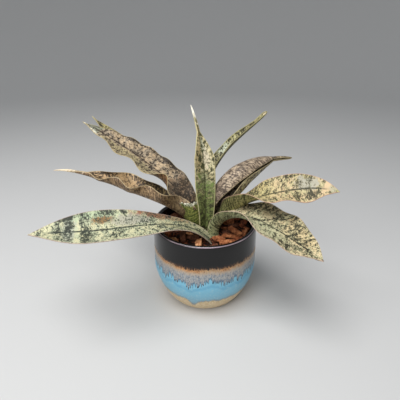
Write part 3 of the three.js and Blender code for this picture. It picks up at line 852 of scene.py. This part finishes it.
def grey_runs(s, f, body):
    """Grey glaze that runs down over body in drips with dark ends."""
    drip = s.spread(f.fast, 0.4, 0.62)
    drops = s.raised(GLAZE_RUN_END, (24, f.slow), (10, f.middle), (-GLAZE_DRIP_LENGTH, drip))
    f.above_run = s.math("SUBTRACT", f.z, drops)
    grey = s.mix(s.spread(f.strands, 0.42, 0.58), glaze("grey"), glaze("grey_strands"))
    grey = s.mix(s.spread(f.grain, 0.46, 0.66, 0.0, 0.75), grey, glaze("grey_grains"))
    grey = s.mix(s.spread(f.specks, 0.52, 0.66, 0.0, 0.6), grey, glaze("grey_specks"))
    end_color = s.mix(drip, glaze("run_end"), glaze("drip_end"))
    body = s.mix(s.spread(f.above_run, -0.5, 0.5), body, end_color)
    return s.mix(s.spread(f.above_run, 1.4, 3.6), body, grey)


def dark_band(s, f, body):
    """Dark glaze over the upper pot, which ends in rusty and beige strands."""
    band_end = s.raised(GLAZE_BAND_END, (5, f.slow), (3, f.middle), (13, f.strands))
    f.above_band = s.math("SUBTRACT", f.z, band_end)
    fringe = s.math("ADD", f.above_band, s.sum((20, f.strands)))
    body = s.mix(s.spread(fringe, -10.0, -4.0, 0.0, 0.8), body, glaze("beige"))
    amber = s.mix(s.spread(f.slow, 0.44, 0.54), glaze("amber"), glaze("pale_amber"))
    amber = s.mix(s.spread(f.strands, 0.5, 0.58, 0.0, 0.85), amber, glaze("rust_strands"))
    amber = s.mix(s.spread(f.grain, 0.48, 0.62, 0.0, 0.6), amber, glaze("amber_grains"))
    body = s.mix(s.spread(fringe, -6.0, -1.5, 0.0, 0.9), body, amber)
    body = s.mix(s.spread(f.above_band, -1.2, 0.8), body, glaze("band_edge"))
    band = s.mix(s.spread(f.specks, 0.4, 0.7, 0.0, 0.5), glaze("band"), glaze("band_specks"))
    return s.mix(s.spread(f.above_band, 1.0, 3.0), body, band)


def bare_foot(s, f, body):
    """Bare cream foot under a wavy edge, with one long run of glaze at the front."""
    beside_run = s.math("DIVIDE", s.math("SUBTRACT", f.x, GLAZE_LONG_RUN_X), GLAZE_LONG_RUN_WIDTH)
    one_run = s.math("EXPONENT", s.math("MULTIPLY", s.math("POWER", beside_run, 2.0), -1.0))
    one_run = s.math("MULTIPLY", one_run, s.spread(f.y, -20, -30))
    foot_edge = s.raised(GLAZE_FOOT_EDGE, (9, f.middle), (6, f.slow), (7, f.strands), (7, f.grain),
                         (-GLAZE_LONG_RUN, one_run))
    above_foot = s.math("SUBTRACT", f.z, foot_edge)
    cream = s.mix(s.spread(f.grain, 0.42, 0.62), glaze("cream"), glaze("cream_grains"))
    cream = s.mix(s.spread(f.specks, 0.5, 0.7, 0.0, 0.6), cream, glaze("cream_specks"))
    # painted shade: a greyer band just above the edge of the bare foot
    body = s.mix(s.spread(above_foot, 3.6, 0.2, 0.0, 0.8), body, glaze("foot_painted_shade"))
    return s.mix(s.spread(above_foot, 0.8, -1.4), body, cream)


def lip_break_highlight_and_inside(s, f, body):
    """The dark glaze has a lilac line round the rim's outer edge, partly a thin glaze break and partly a
    painted highlight, and is plain inside the rim.
    """
    radius = s.math("SQRT", s.math("ADD", s.math("POWER", f.x, 2.0), s.math("POWER", f.y, 2.0)))
    off_lip = s.node("ShaderNodeCombineXYZ", {
        "X": s.math("SUBTRACT", radius, POT_RIM_RADIUS - LIP_BREAK_AND_HIGHLIGHT_INSET),
        "Y": s.math("SUBTRACT", f.z, POT_HEIGHT - LIP_BREAK_AND_HIGHLIGHT_INSET)}).outputs[0]
    # painted highlight: a lilac line round the rim's outer edge, partly a thin break in the dark glaze and
    # partly the rim's highlight
    lip_break_and_highlight = s.spread(s.length(off_lip), 0.9, 0.3, 0.0, 0.75)
    lip_break_and_highlight = s.math("MULTIPLY", lip_break_and_highlight, s.spread(f.slow, 0.3, 0.6, 0.35, 1.0))
    body = s.mix(lip_break_and_highlight, body, glaze("lip_break_and_highlight"))
    inside = s.math("MULTIPLY", s.spread(radius, 57.4, 56.8), s.spread(f.z, 40, 60))
    return s.mix(inside, body, glaze("inside"))


def glaze_material():
    s = Shader("dipped_glaze")
    f = glaze_fields(s)
    body = grey_runs(s, f, blue_glaze(s, f))
    body = dark_band(s, f, body)
    body = bare_foot(s, f, body)
    body = lip_break_highlight_and_inside(s, f, body)
    s.put(s.surface.inputs["Base Color"], body)
    s.put(s.surface.inputs["Roughness"], s.spread(f.above_band, -2.0, 3.0, 0.4, 0.12))
    s.surface.inputs["Specular IOR Level"].default_value = 0.42
    height = s.math("ADD", s.math("MULTIPLY", f.specks, 0.3), s.spread(f.above_run, -1.0, 3.0))
    height = s.math("ADD", height, s.spread(f.above_band, -2.0, 2.0))
    s.put(s.surface.inputs["Normal"], s.bump(height, 0.0005, 0.4))
    return s.material


def bark_material(name, light, middle, dark, seed):
    s = Shader(name)
    place = s.scaled(s.node("ShaderNodeTexCoord").outputs["Object"], (1, 1, 1), (seed, 0, 0))
    grain = s.noise(s.scaled(place, (1, 0.35, 1)), 520, 5, 0.65, 0.6)
    lumps = s.noise(place, 160, 3, 0.6, 0.4)
    shade = s.math("ADD", s.math("MULTIPLY", grain, 0.6), s.math("MULTIPLY", lumps, 0.4))
    color = s.ramp(s.spread(shade, 0.34, 0.66, smooth=False), [
        (0.0, dark), (0.45, middle), (1.0, light)])
    s.put(s.surface.inputs["Base Color"], color)
    s.surface.inputs["Roughness"].default_value = 0.85
    s.surface.inputs["Specular IOR Level"].default_value = 0.25
    s.put(s.surface.inputs["Normal"], s.bump(grain, 0.0012, 0.8))
    return s.material


def mix_height(radius):
    return MIX_TOP + MIX_MOUND * max(0.0, 1 - radius / MIX_MOUND_RADIUS)


def mix_ring(radius, lumpy):
    """One ring of the bed's points: on its lumpy top, or on its flat underside."""
    points = []
    for k in range(MIX_SIDES):
        angle = 2 * math.pi * k / MIX_SIDES
        x = radius * math.cos(angle)
        y = radius * math.sin(angle)
        z = MIX_UNDERSIDE
        if lumpy:
            lump = 1.3 * noise.noise((x * 0.22, y * 0.22, 3.0)) + 0.8 * noise.noise((x * 0.6, y * 0.6, 9.0))
            z = mix_height(radius) + lump
        points.append((x * MM, y * MM, z * MM))
    return points


def mix_object():
    """Lumpy surface of the potting mix, closed below."""
    vertices = [(0, 0, mix_height(0) * MM)]
    for i in range(1, MIX_RINGS + 1):
        vertices += mix_ring(MIX_RADIUS * i / MIX_RINGS, True)
    edge = len(vertices) - MIX_SIDES
    low = len(vertices)
    vertices += mix_ring(MIX_RADIUS, False)
    vertices.append((0, 0, MIX_UNDERSIDE * MM))
    faces = []
    for k in range(MIX_SIDES):
        after = (k + 1) % MIX_SIDES
        faces.append((0, 1 + k, 1 + after))
        for i in range(MIX_RINGS - 1):
            inner = 1 + i * MIX_SIDES
            outer = inner + MIX_SIDES
            faces.append((inner + k, outer + k, outer + after, inner + after))
        faces.append((edge + k, low + k, low + after, edge + after))
        faces.append((low + after, low + k, len(vertices) - 1))
    return mesh_object("potting_mix_bed", vertices, faces)


def crumb_object(rng):
    """Small loose grains of bark and peat strewn over the bed."""
    corners = ((1, 0, 0), (-1, 0, 0), (0, 1, 0), (0, -1, 0), (0, 0, 1), (0, 0, -1))
    sides = ((0, 2, 4), (2, 1, 4), (1, 3, 4), (3, 0, 4), (2, 0, 5), (1, 2, 5), (3, 1, 5), (0, 3, 5))
    vertices = []
    faces = []
    for _ in range(CRUMBS):
        radius = CRUMB_REACH * math.sqrt(rng.random())
        angle = rng.uniform(0, 2 * math.pi)
        size = rng.uniform(*CRUMB_SIZES)
        height = mix_height(radius) + size * 0.3
        centre = Vector((radius * math.cos(angle), radius * math.sin(angle), height))
        spin = rng.uniform(0, math.pi)
        start = len(vertices)
        for corner in corners:
            point = Vector(corner)
            point.x *= rng.uniform(0.7, 1.6)
            point.y *= rng.uniform(0.4, 0.9)
            point.z *= rng.uniform(0.3, 0.7)
            x = point.x * math.cos(spin) - point.y * math.sin(spin)
            y = point.x * math.sin(spin) + point.y * math.cos(spin)
            vertices.append(tuple((centre + Vector((x, y, point.z)) * size) * MM))
        for side in sides:
            faces.append(tuple(start + corner for corner in side))
    return mesh_object("potting_mix_crumbs", vertices, faces, smooth=False)


def finish_piece(piece, material, slot_name, *nodes):
    """Gives a piece its material, and its place in the frame of the CAD nodes."""
    piece.data.materials.append(material)
    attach(piece, "root")
    if nodes:
        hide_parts(*nodes)


def build_pot():
    pot = lathe_object("glazed_pot", pot_profile(), POT_SIDES)
    finish_piece(pot, glaze_material(), "glaze", "pot")


def build_leaves():
    for seed, (name, leaf) in enumerate(LEAVES.items(), start=1):
        piece = leaf_object(name + "_blade", leaf, seed)
        finish_piece(piece, leaf_material(name + "_skin", LOOKS[name]), name, name)


def build_mix():
    peat = bark_material("peat", *PEAT_TONES, seed=3)
    finish_piece(mix_object(), peat, "mix", "potting_mix")
    crumbs = crumb_object(random.Random(CRUMB_SEED))
    crumb_skin = bark_material("crumb_bark", *CRUMB_TONES, seed=7)
    finish_piece(crumbs, crumb_skin, "bark")


def dress_chips():
    """Bark materials and small lumps for the CAD chips, which stay where they are."""
    skins = [bark_material(f"bark_{i}", *tones, seed=i) for i, tones in enumerate(CHIP_TONES)]
    clouds = bpy.data.textures.new("bark_lumps", "CLOUDS")
    clouds.noise_scale = CHIP_LUMP_SIZE
    clouds.noise_depth = 2
    names = sorted(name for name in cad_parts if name.startswith("bark_chip"))
    for i, name in enumerate(names):
        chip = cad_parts[name]
        for slot in chip.material_slots:
            slot.material = skins[(i * CHIP_TONE_STEP) % len(skins)]
        finer = chip.modifiers.new("finer", "SUBSURF")
        finer.subdivision_type = "SIMPLE"
        finer.levels = CHIP_SUBDIVISIONS
        finer.render_levels = CHIP_SUBDIVISIONS
        lumps = chip.modifiers.new("lumps", "DISPLACE")
        lumps.texture = clouds
        lumps.texture_coords = "LOCAL"
        lumps.strength = CHIP_LUMP_HEIGHT
        lumps.mid_level = 0.5


def build_stage():
    """A pale floor that curves up into a wall all round."""
    profile = [(BACKDROP_FLAT * i / 4, 0.0) for i in range(1, 5)]
    for k in range(1, BACKDROP_CURVE_STEPS + 1):
        turn = math.radians(90 * k / BACKDROP_CURVE_STEPS)
        radius = BACKDROP_FLAT + BACKDROP_CURVE * math.sin(turn)
        profile.append((radius, BACKDROP_CURVE * (1 - math.cos(turn))))
    vertices = [(0, 0, 0)]
    for radius, height in profile:
        for k in range(BACKDROP_SIDES):
            angle = 2 * math.pi * k / BACKDROP_SIDES
            vertices.append((radius * math.cos(angle), radius * math.sin(angle), height))
    faces = []
    for k in range(BACKDROP_SIDES):
        after = (k + 1) % BACKDROP_SIDES
        faces.append((0, 1 + k, 1 + after))
        for i in range(len(profile) - 1):
            low = 1 + i * BACKDROP_SIDES
            high = low + BACKDROP_SIDES
            faces.append((low + k, high + k, high + after, low + after))
    floor = mesh_object("floor", vertices, faces)
    s = Shader("pale_floor")
    s.surface.inputs["Base Color"].default_value = linear(FLOOR_COLOR)
    s.surface.inputs["Roughness"].default_value = 0.9
    floor.data.materials.append(s.material)


def area_light(name, place, target, width, depth, power):
    data = bpy.data.lights.new(name, "AREA")
    data.shape = "RECTANGLE"
    data.size = width
    data.size_y = depth
    data.energy = power
    lamp = bpy.data.objects.new(name, data)
    lamp.location = place
    lamp.rotation_euler = (Vector(target) - Vector(place)).to_track_quat("-Z", "Y").to_euler()
    bpy.context.scene.collection.objects.link(lamp)


def build_light():
    """Soft studio light, shown in plain screen colours."""
    bpy.context.scene.view_settings.view_transform = "Standard"
    world = bpy.data.worlds.new("studio")
    bpy.context.scene.world = world
    world.use_nodes = True
    sky = world.node_tree.nodes["Background"]
    sky.inputs["Color"].default_value = SKY_COLOR
    sky.inputs["Strength"].default_value = SKY_STRENGTH
    for light in LIGHTS:
        area_light(*light)


def build_camera():
    data = bpy.data.cameras.new("camera")
    data.sensor_width = SENSOR_WIDTH
    data.lens = CAMERA_LENS
    camera = bpy.data.objects.new("camera", data)
    camera.location = CAMERA_AT
    camera.rotation_euler = (math.radians(90 - CAMERA_PITCH), 0, 0)
    bpy.context.scene.collection.objects.link(camera)
    bpy.context.scene.camera = camera


build_camera()
build_stage()
build_light()
build_pot()
build_mix()
dress_chips()
build_leaves()
